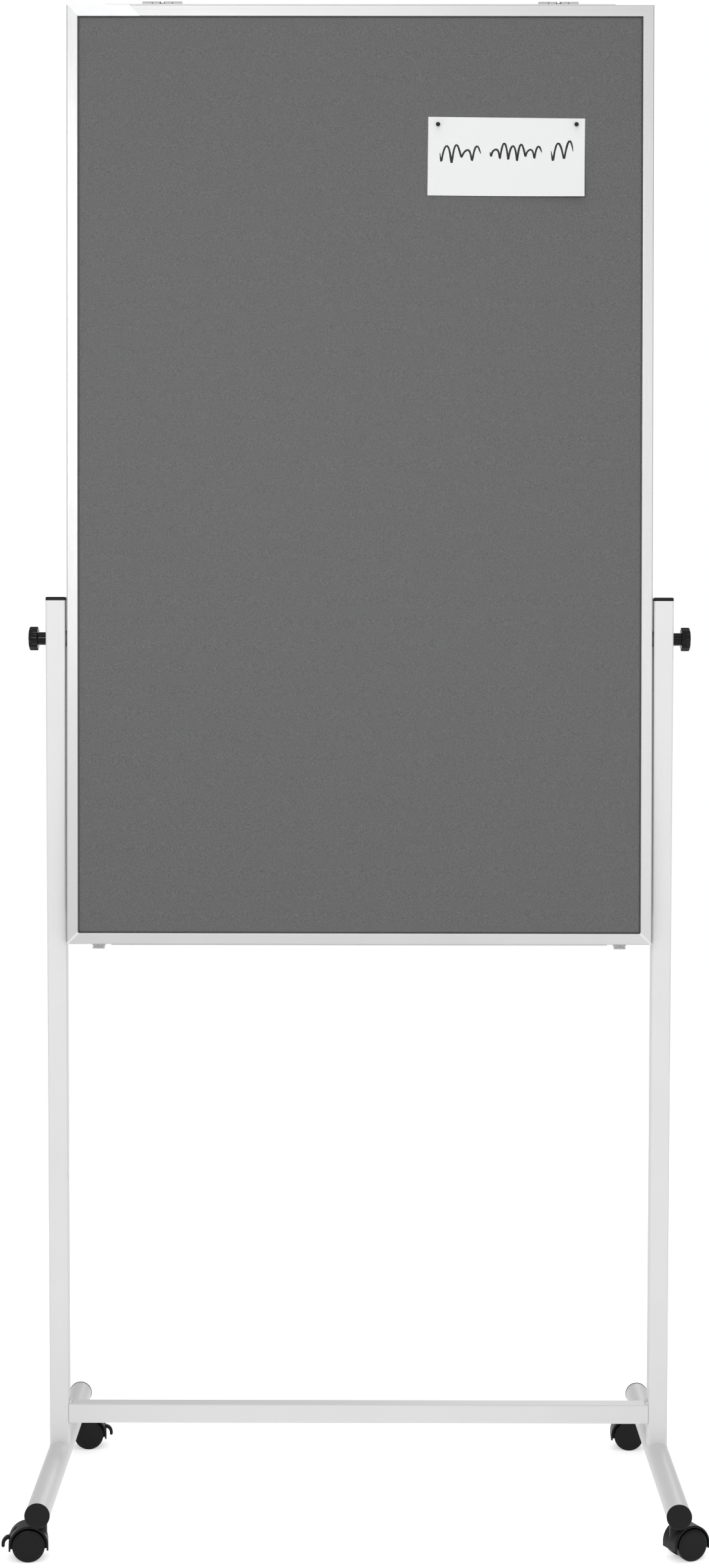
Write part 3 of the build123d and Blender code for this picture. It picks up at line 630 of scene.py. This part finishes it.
# %% [markdown]
# ## Strokes of a pen
# The card carries a note. Its words are left out: three scribbled waves that spell nothing keep
# the look of a written card. A felt tip leaves a band of even width with round ends, so each
# stroke is a thin ribbon laid on the card's own bend.

# %% Pen strokes
STROKE_HALF = 1.25 * MM
INK_ABOVE = 0.05 * MM
draws = random.Random(7)
points, faces = [], []


def stroke(path):
    """Lay a ribbon on the card along (across, down) shares."""
    size = Vector((2 * card_half_width, 2 * card_half_height))
    flat = [Vector((across * size.x, down * size.y)) for across, down in path]
    first = len(points)
    for i, spot in enumerate(flat):
        run = (flat[min(i + 1, len(flat) - 1)] - flat[max(i - 1, 0)]).normalized()
        reach = min(i, len(flat) - 1 - i, 3) / 3
        half = STROKE_HALF * (0.35 + 0.65 * math.sqrt(reach)) * (0.9 + 0.2 * draws.random())
        for sign in (-1, 1):
            edge = spot + Vector((-run.y, run.x)) * half * sign
            across, down = edge.x / size.x, edge.y / size.y
            points.append(on_card(across, down, CARD_THICKNESS + INK_ABOVE))
    for i in range(len(flat) - 1):
        a = first + 2 * i
        faces.append([a, a + 1, a + 3, a + 2])


def scribble(start, end, level, height, waves):
    """A wave that grows and shrinks without settling into letters."""
    steps = 14 * waves
    path = []
    first, second = draws.uniform(0, 6), draws.uniform(0, 6)
    for i in range(steps + 1):
        share = i / steps
        swell = 0.6 + 0.4 * math.sin(2.3 * share * waves + first) * math.cos(waves * share + second)
        lean = 0.006 * math.cos(2 * math.pi * waves * share)
        down = level + height * swell * math.sin(2 * math.pi * waves * share)
        path.append((start + (end - start) * share + lean, down))
    stroke(path)


scribble(0.07, 0.33, 0.46, 0.15, 4)
scribble(0.39, 0.72, 0.44, 0.13, 6)
scribble(0.78, 0.92, 0.42, 0.15, 2)
pen_marks = shaped("pen_marks", points, faces)
fit(pen_marks, "board", "pin_black", finish="ink")

# %% [markdown]
# ## Pins
# Each pin has a glossy ball, a thin neck and a steel needle that goes on into the board. A ball
# is a shape turned about the needle, so one profile makes ball, neck and needle in one piece.

# %% Pins
BALL, NECK, NEEDLE, NEEDLE_DEPTH, TAPER = 2.8 * MM, 1.5 * MM, 0.6 * MM, 6.0 * MM, 1.4 * MM
pin_low, pin_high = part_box("push_pins")
pin_up = board_measure((pin_low + pin_high) / 2).y
ball_out = board_measure((0, pin_low.y + BALL, pin_high.z - BALL)).z
arc = [math.pi * step / 18 for step in range(4, 18)]
ball_profile = [(-BALL * math.cos(a), BALL * math.sin(a)) for a in arc] + [(BALL, 0.0)]
base = felt_face + CARD_THICKNESS - ball_out
needle_tip = felt_face - ball_out - NEEDLE_DEPTH
pin_profile = [(needle_tip, 0.0), (needle_tip + TAPER, NEEDLE), (base, NEEDLE),
               (base + 0.1 * MM, NECK), (-BALL * 0.9, NECK * 0.92)] + ball_profile
for side, across in (("left", pin_low.x + BALL), ("right", pin_high.x - BALL)):
    ball_middle = on_board(across, pin_up, ball_out)
    points, faces = turned(pin_profile, ball_middle, board_out, board_up, 40)
    pin = shaped(f"{side}_pin", points, faces, sharp=55)
    nodes = ("push_pins",) if side == "left" else ()
    fit(pin, "board", "pin_black", *nodes, finish="pin_black")

# %% [markdown]
# ## Star knobs
# A hand knob is moulded round a nut: a plain neck, then a domed head with eight finger flutes.
# The body is a turned profile. The flutes follow a rule, so a geometry tree presses them in:
# each point moves towards the axis by a wave of its angle, more at the rim and not at all near
# the middle. The wave is raised to a power, which keeps the lobes broad and the flutes narrow.

# %% Flutes recipe
flutes = Recipe("flutes", {"Lobes": "float", "Flute depth": "float", "Inner radius": "float",
                           "Outer radius": "float", "Axis height": "float", "Finish": "material"})
place = flutes.add("GeometryNodeInputPosition")
apart = [flutes.add("ShaderNodeSeparateXYZ", {}, {0: place}, output=i) for i in range(3)]
depth_way, height_way = apart[1], apart[2] - flutes.given("Axis height")
angle = depth_way.maths("ARCTAN2", depth_way, height_way)
radius = (depth_way * depth_way + height_way * height_way) ** 0.5
wave = (1 - angle.maths("COSINE", angle * flutes.given("Lobes"))) * 0.5
weight = flutes.add(
    "ShaderNodeMapRange", {"interpolation_type": "SMOOTHSTEP"},
    {"Value": radius, "From Min": flutes.given("Inner radius"),
     "From Max": flutes.given("Outer radius")},
)
press = wave ** 2.2 * weight * flutes.given("Flute depth") * -1
per_metre = press / (radius + 0.000001)
move = flutes.add(
    "ShaderNodeCombineXYZ", {}, {"Y": depth_way * per_metre, "Z": height_way * per_metre}
)
fluted = flutes.add(
    "GeometryNodeSetPosition", {}, {"Geometry": flutes.given("Geometry"), "Offset": move}
)
flutes.end(fluted)
print("flutes recipe:", len(flutes.group.nodes), "nodes")

# %% Knobs
HOLE_DEPTH, HOLE, DOME = 15.0 * MM, 4.05 * MM, 2.6 * MM
for side in ("left", "right"):
    joint = joints[f"{side}_knob_turn"]
    low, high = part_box(f"{side}_knob")
    axis = Vector(joint["axis"])
    length = high.x - low.x
    head = (high.z - low.z) / 2
    neck, shoulder = head * 0.543, length * 0.453
    foot = Vector((low.x if axis.x > 0 else high.x, turning_axis.y, turning_axis.z))
    rim = length - DOME
    dome = [(rim + DOME * math.sqrt(1 - (r / head) ** 2.4), r)
            for r in (head * s for s in (0.93, 0.88, 0.8, 0.7, 0.6, 0.5, 0.4, 0.3, 0.2, 0.1))]
    profile = [(HOLE_DEPTH, 0.0), (HOLE_DEPTH, HOLE), (0.0, HOLE)]
    profile += rounded((0.0, neck), (0.0, 0.0), (shoulder, neck), 0.5 * MM)
    profile += rounded((shoulder, neck), (0.0, neck), (shoulder, head), 0.9 * MM)
    profile += rounded((shoulder, head), (shoulder, neck), (rim, head), 1.1 * MM)
    profile += rounded((rim + 0.6 * MM, head), (shoulder, head),
                       (length + 1.2 * MM, head * 0.6), 1.5 * MM, 7)
    profile += [spot for spot in dome if spot[0] > profile[-1][0]] + [(length, 0.0)]
    points, faces = turned(profile, foot, axis, (0, 0, 1), steps=192)
    knob = shaped(f"{side}_star_knob", points, faces)
    cooked(knob, flutes, lobes=8.0, flute_depth=1.9 * MM, inner_radius=head * 0.62,
           outer_radius=head * 0.96, axis_height=turning_axis.z, finish=finishes["knob_black"])
    fit(knob, f"{side}_knob", "black_plastic", f"{side}_knob")

# %% [markdown]
# ## Caster wheels
# A furniture caster has two wheels, each a moulded cup: a tread that is slightly crowned, a
# closed outer disc with a shallow step round it, and a hub inside. All eight are alike, so one
# profile is turned about each wheel's own axle. The joints say where the axles are.

# %% Wheels
TREAD, WIDTH, HUB, BORE, BLIND = 20.0 * MM, 11.0 * MM, 5.5 * MM, 2.55 * MM, 7.3 * MM
DISC, CUP = WIDTH - 2.5 * MM, TREAD - 3 * MM      # inner face of the disc, inside of the tread
CORNERS = ("front_left", "front_right", "rear_left", "rear_right")
wheel_profile = [(BLIND, 0.0), (BLIND, BORE), (0.0, BORE)]
wheel_profile += rounded((0.0, HUB), (0.0, BORE), (WIDTH, HUB), 0.4 * MM)
wheel_profile += rounded((DISC, HUB), (0.0, HUB), (DISC, TREAD), 0.8 * MM)
wheel_profile += rounded((DISC, CUP), (DISC, 0), (0, CUP), MM)
wheel_profile += rounded((0.0, CUP), (WIDTH, CUP), (0.0, TREAD), 0.4 * MM)
wheel_profile += rounded((0.0, TREAD - 0.1 * MM), (0.0, 0.0), (WIDTH / 2, TREAD), 0.9 * MM)
wheel_profile += [(WIDTH * 0.35, TREAD - 0.01 * MM), (WIDTH * 0.55, TREAD)]
wheel_profile += rounded((WIDTH - 0.9 * MM, TREAD), (0.0, TREAD),
                         (WIDTH - 0.5 * MM, TREAD - 2 * MM), 1.2 * MM, 6)
wheel_profile += [(WIDTH - 0.55 * MM, TREAD - 1.9 * MM)]
wheel_profile += rounded((WIDTH, TREAD - 2.3 * MM), (WIDTH - 0.6 * MM, TREAD - 2 * MM),
                         (WIDTH, 0.0), 0.5 * MM)
wheel_profile += [(WIDTH, TREAD * 0.7), (WIDTH - 0.05 * MM, TREAD * 0.35), (WIDTH - 0.08 * MM, 0.0)]
for corner in CORNERS:
    for wheel in ("wheel_near", "wheel_far"):
        name = f"{corner}_{wheel}"
        outwards = Vector(joints[f"{name}_roll"]["axis"])
        if (middle(name) - middle(f"{corner}_axle")).dot(outwards) < 0:
            outwards = -outwards
        inner_face = middle(name) - outwards * WIDTH / 2
        points, faces = turned(wheel_profile, inner_face, outwards, (0, 0, 1), steps=96)
        disc = shaped(f"{corner}_{wheel}_moulding", points, faces, sharp=30)
        fit(disc, name, "wheel_plastic", name, finish="wheel_plastic")

# %% [markdown]
# ## Rubber bumpers
# Two small translucent feet sit under the lower edge, so that the board can be stood down
# without scratching. Each is a tapered block, hollowed in front with two ribs that cross. The
# ribs catch the light, so they are real bars in a real pocket and not a drawn pattern.


# %% Bumpers
def block(centre, across, up, out, taper=0.0, turn=0.0):
    """Eight corners and six faces of a block on the board, narrower at its foot."""
    corners = []
    for z in (-1, 1):
        for y in (-1, 1):
            for x in (-1, 1):
                half = across / 2 - (taper if y < 0 else 0.0)
                dx, dy = x * half, y * up / 2
                spun = (dx * math.cos(turn) - dy * math.sin(turn),
                        dx * math.sin(turn) + dy * math.cos(turn))
                corners.append(on_board(centre[0] + spun[0], centre[1] + spun[1],
                                        centre[2] + z * out / 2))
    sides = [[0, 1, 3, 2], [4, 5, 7, 6], [0, 1, 5, 4], [2, 3, 7, 6], [0, 2, 6, 4], [1, 3, 7, 5]]
    return corners, sides


low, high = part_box("bumper_feet")
BUMPER_TOP, BUMPER_HEIGHT, BUMPER_DEPTH = 16.7 * MM, 6.2 * MM, 14.0 * MM
BUMPER_TAPER, POCKET, WALL = 2.1 * MM, 1.6 * MM, 1.5 * MM
bumper_up = board_measure(middle("bumper_feet")).y
for side, across in (("left", low.x + BUMPER_TOP / 2), ("right", high.x - BUMPER_TOP / 2)):
    body_depth = BUMPER_DEPTH - POCKET
    body_middle = (across, bumper_up, -POCKET / 2)
    parts = [block(body_middle, BUMPER_TOP, BUMPER_HEIGHT, body_depth, BUMPER_TAPER)]
    front = BUMPER_DEPTH / 2 - POCKET / 2
    rib = math.hypot(BUMPER_TOP - 3 * WALL, BUMPER_HEIGHT - WALL) * 0.94
    slant = math.atan2(BUMPER_HEIGHT - WALL, BUMPER_TOP - 3 * WALL)
    for turn in (slant, -slant):
        parts.append(block((across, bumper_up, front), rib, 0.9 * MM, POCKET * 0.9, turn=turn))
    for sign in (-1, 1):
        parts.append(block((across, bumper_up + sign * (BUMPER_HEIGHT - WALL) / 2, front),
                           BUMPER_TOP - (4.2 * MM if sign < 0 else 0.6 * MM), WALL, POCKET))
        parts.append(block((across + sign * (BUMPER_TOP - WALL - 2.4 * MM) / 2, bumper_up, front),
                           WALL, BUMPER_HEIGHT * 0.98, POCKET, turn=sign * 0.32))
    points, faces = [], []
    for corners, sides in parts:
        faces += [[i + len(points) for i in face] for face in sides]
        points += corners
    bumper = shaped(f"{side}_bumper", points, faces)
    edges = bumper.modifiers.new("soft edges", "BEVEL")
    edges.width, edges.segments, edges.limit_method = 0.35 * MM, 2, "ANGLE"
    nodes = ("bumper_feet",) if side == "left" else ()
    fit(bumper, "board", "bumper_plastic", *nodes, finish="bumper_plastic")

# %% [markdown]
# ## Tray screws
# Three pan-head screws with a cross recess hold the pen tray from below. One screw is turned,
# and a cross of two bars is cut out of its head. A geometry tree then sets it three times along
# a line, with the count and the spacing as inputs, so a longer tray would need no new mesh.

# %% One screw
HEAD, HEAD_HEIGHT, SHANK = 3.7 * MM, 1.6 * MM, 1.7 * MM
low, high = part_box("tray_screws")
screw_up = board_measure((0, 0, low.z)).y + HEAD_HEIGHT + HEAD * board_out.z
screw_seat = on_board(0.0, screw_up)
down = -board_up
shank_length = (high.z - low.z) / board_up.z - HEAD_HEIGHT - 0.4 * MM
screw_profile = [(-shank_length, 0.0), (-shank_length, SHANK * 0.8), (-shank_length + MM, SHANK),
                 (0.0, SHANK), (0.0, HEAD - 0.1 * MM), (0.25 * MM, HEAD)]
for step in range(1, 7):
    rise = math.pi / 2 * step / 7
    height, width = math.sin(rise), 0.35 + 0.65 * math.cos(rise)
    screw_profile.append((0.25 * MM + 1.35 * MM * height, HEAD * width))
screw_profile += [(HEAD_HEIGHT, HEAD * 0.3), (HEAD_HEIGHT, 0.0)]
points, faces = turned(screw_profile, screw_seat, down, (1, 0, 0), steps=32)
screw = shaped("pan_screw", points, faces)
cross_points, cross_faces = [], []
for turn in (0.0, math.pi / 2):
    bar = Matrix.Rotation(turn, 4, down)
    for along, wide, high_up in ((-1, -1, 0), (1, -1, 0), (1, 1, 0), (-1, 1, 0),
                                 (-1, -1, 1), (1, -1, 1), (1, 1, 1), (-1, 1, 1)):
        length = (2.1 if high_up else 1.2) * MM
        spot = bar @ Vector((along * length, wide * 0.42 * MM, 0))
        spot += down * (HEAD_HEIGHT * (1.3 if high_up else 0.25))
        cross_points.append(screw_seat + spot)
    k = len(cross_points) - 8
    cross_faces += [[k + i for i in face] for face in
                    ((0, 1, 2, 3), (4, 5, 6, 7), (0, 1, 5, 4), (1, 2, 6, 5), (2, 3, 7, 6),
                     (3, 0, 4, 7))]
cutter = shaped("recess_cutter", cross_points, cross_faces)
cut = screw.modifiers.new("recess", "BOOLEAN")
cut.operation, cut.solver, cut.object, cut.use_self = "DIFFERENCE", "EXACT", cutter, True

# %% Screw row recipe
screw_row = Recipe("screw row", {"Screw": "object", "Count": "int", "Spacing": "float",
                                 "Finish": "material"})
spacing = screw_row.given("Spacing")
half_row = (screw_row.given("Count") - 1) * spacing * 0.5
line = screw_row.add(
    "GeometryNodeMeshLine", {"mode": "OFFSET"},
    {"Count": screw_row.given("Count"),
     "Start Location": screw_row.add("ShaderNodeCombineXYZ", {}, {"X": half_row * -1}),
     "Offset": screw_row.add("ShaderNodeCombineXYZ", {}, {"X": spacing})},
)
model = screw_row.add(
    "GeometryNodeObjectInfo", {}, {"Object": screw_row.given("Screw")}, output="Geometry"
)
placed = screw_row.add("GeometryNodeInstanceOnPoints", {}, {"Points": line, "Instance": model})
screw_row.end(placed)
row = shaped("pan_screws", [], [])
screw_spacing = (high.x - low.x) / 2 - HEAD
cooked(row, screw_row, screw=screw, count=3, spacing=screw_spacing, finish=finishes["zinc_steel"])
for helper in (screw, cutter):
    bpy.data.objects.remove(helper)
row.data.shade_smooth()
row.data.set_sharp_from_angle(angle=math.radians(32))
fit(row, "board", "zinc_steel", "tray_screws")

# %% [markdown]
# ## Welds
# The crossbar is welded to the posts above and below, and each post is cut to a saddle and
# welded round the foot. A weld is laid in small overlapping pools, which leave ripples. A
# geometry tree runs a round bead along a path and lets its radius swell and shrink with the
# length already run. The small bead round the saddle only shows as a fine line.

# %% Bead recipe
RIPPLE_STEP = 0.35 * MM
bead = Recipe("weld bead", {"Bead radius": "float", "Ripple pitch": "float",
                            "Ripple depth": "float", "Finish": "material"})
seam = bead.add("GeometryNodeMeshToCurve", {}, {"Mesh": bead.given("Geometry")})
fine = bead.add(
    "GeometryNodeResampleCurve", {"mode": "LENGTH"}, {"Curve": seam, "Length": RIPPLE_STEP}
)
run = bead.add("GeometryNodeSplineParameter", output="Length")
ripple = run.maths("SINE", run / bead.given("Ripple pitch") * (2 * math.pi))
swell = 1 + ripple * bead.given("Ripple depth")
swollen = bead.add("GeometryNodeSetCurveRadius", {}, {"Curve": fine, "Radius": swell})
ring = bead.add(
    "GeometryNodeCurvePrimitiveCircle", {}, {"Resolution": 14, "Radius": bead.given("Bead radius")}
)
tube = bead.add(
    "GeometryNodeCurveToMesh", {}, {"Curve": swollen, "Profile Curve": ring, "Fill Caps": True}
)
smooth = bead.add("GeometryNodeSetShadeSmooth", {}, {"Geometry": tube})
bead.end(smooth)

# %% Crossbar and saddle beads
POST_HALF, BEAD_HALF, BEAD_SETBACK = 12.5 * MM, 9.5 * MM, 0.7 * MM
bar_low, bar_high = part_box("crossbar")
points, edges = [], []
for end_x, inward in ((bar_low.x, 1), (bar_high.x, -1)):
    for edge_z, upward in ((bar_low.z, -1), (bar_high.z, 1)):
        x, z = end_x + inward * BEAD_SETBACK, edge_z + upward * BEAD_SETBACK
        edges.append((len(points), len(points) + 1))
        points += [(x, -BEAD_HALF, z), (x, BEAD_HALF, z)]


def path_object(name, points, edges):
    """A path of edges for a bead to follow."""
    mesh = bpy.data.meshes.new(name)
    mesh.from_pydata(points, edges, [])
    thing = bpy.data.objects.new(name, mesh)
    bpy.context.scene.collection.objects.link(thing)
    return thing


crossbar_welds = path_object("crossbar_welds", points, edges)
cooked(crossbar_welds, bead, bead_radius=2.5 * MM, ripple_pitch=1.7 * MM, ripple_depth=0.07,
       finish=finishes["powder_coat"])
fit(crossbar_welds, "stand", "powder_coat", "weld_beads")

points, edges = [], []
for side in ("left", "right"):
    tube_low, tube_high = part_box(f"{side}_foot_tube")
    centre_x, centre_z = (tube_low.x + tube_high.x) / 2, (tube_low.z + tube_high.z) / 2
    tube_radius = (tube_high.x - tube_low.x) / 2
    reach = POST_HALF - 0.2 * MM
    xs = [reach * (-1 + 2 * i / 16) for i in range(17)]
    loop = [(x, -reach) for x in xs] + [(x, reach) for x in reversed(xs)]
    first = len(points)
    for x, y in loop:
        points.append((centre_x + x, y, centre_z + math.sqrt(tube_radius ** 2 - x * x)))
    edges += [(first + i, first + (i + 1) % len(loop)) for i in range(len(loop))]
saddle_welds = path_object("saddle_welds", points, edges)
cooked(saddle_welds, bead, bead_radius=0.75 * MM, ripple_pitch=1.4 * MM, ripple_depth=0.08,
       finish=finishes["powder_coat"])
fit(saddle_welds, "stand", "powder_coat")

# %% [markdown]
# ## Floor, light and camera
# The object stands on a plain white floor in an evenly bright room. A bank of soft lights high
# in front, a little to the left, gives the felt its broad glow and the left of the frame its
# brightness; a smaller one low on the right lifts the lower right of the frame, one overhead
# lifts the tops of the tubes, and one behind lights the whiteboard. The camera stands in front
# at eye level of a seated person, with a long lens, and looks down by under four degrees.

# %% Stage
floor = shaped("floor", [(-60, -60, 0), (60, -60, 0), (60, 60, 0), (-60, 60, 0)], [[0, 1, 2, 3]])
white_floor = Finish("white_floor", specular_ior_level=0.0, roughness=0.9)
white_floor.set("base_color", grey(0.9))
white_floor.set("emission_color", grey(1.0))
white_floor.set("emission_strength", 0.47)
floor.data.materials.append(white_floor.material)
floor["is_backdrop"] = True

room = bpy.data.worlds.new("room")
room.use_nodes = True
bpy.context.scene.world = room
sky = Tree(room.node_tree)
seen = sky.add("ShaderNodeLightPath", output="Is Camera Ray")
sky.feed(room.node_tree.nodes["Background"].inputs["Strength"], 0.60 + seen * 0.42)
room.node_tree.nodes["Background"].inputs["Color"].default_value = (1.0, 1.0, 1.0, 1.0)


def softbox(name, place, target, width, height, watts):
    """A large soft light facing a target."""
    light = bpy.data.lights.new(name, "AREA")
    light.shape, light.size, light.size_y, light.energy = "RECTANGLE", width, height, watts
    lamp = bpy.data.objects.new(name, light)
    lamp.location = place
    lamp.rotation_euler = (Vector(target) - Vector(place)).to_track_quat("-Z", "Y").to_euler()
    lamp.visible_camera = False
    bpy.context.scene.collection.objects.link(lamp)


softbox("key", (-1.15, -3.4, 2.35), (0.0, 0.0, 1.3), 1.6, 1.6, 6.6)
softbox("lamp", (-0.3, -3.6, 2.25), (0.0, 0.0, 1.3), 0.8, 0.7, 24)
softbox("fill", (1.25, -3.2, 1.15), (0.1, 0.0, 0.9), 0.9, 1.1, 11.5)
softbox("near", (-0.55, -1.9, 1.75), (-0.2, 0.0, 1.5), 0.7, 0.7, 3.6)
softbox("top", (0.0, -1.2, 4.0), (0.0, 0.0, 1.0), 2.5, 2.0, 18)
softbox("rear", (0.8, 3.4, 2.1), (0.0, 0.0, 1.2), 1.4, 1.4, 22)

camera = bpy.data.objects.new("camera", bpy.data.cameras.new("camera"))
camera.data.sensor_width, camera.data.lens = 36.0, 66.43
camera.location = (0.0028, -3.720, 1.1733)
camera.rotation_euler = (math.pi / 2 - 0.0632, -0.0013, 0.0025)
camera.data.clip_end = 200
bpy.context.scene.collection.objects.link(camera)
bpy.context.scene.camera = camera
bpy.context.scene.view_settings.view_transform = "Standard"

# %% [markdown]
# ## The visible size
# Looks must not change the object's size. The box of everything that shows is taken now and
# printed.

# %% Sizes, and done
low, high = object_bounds()
print("visual box", [round(v, 4) for v in (*low, *high)])
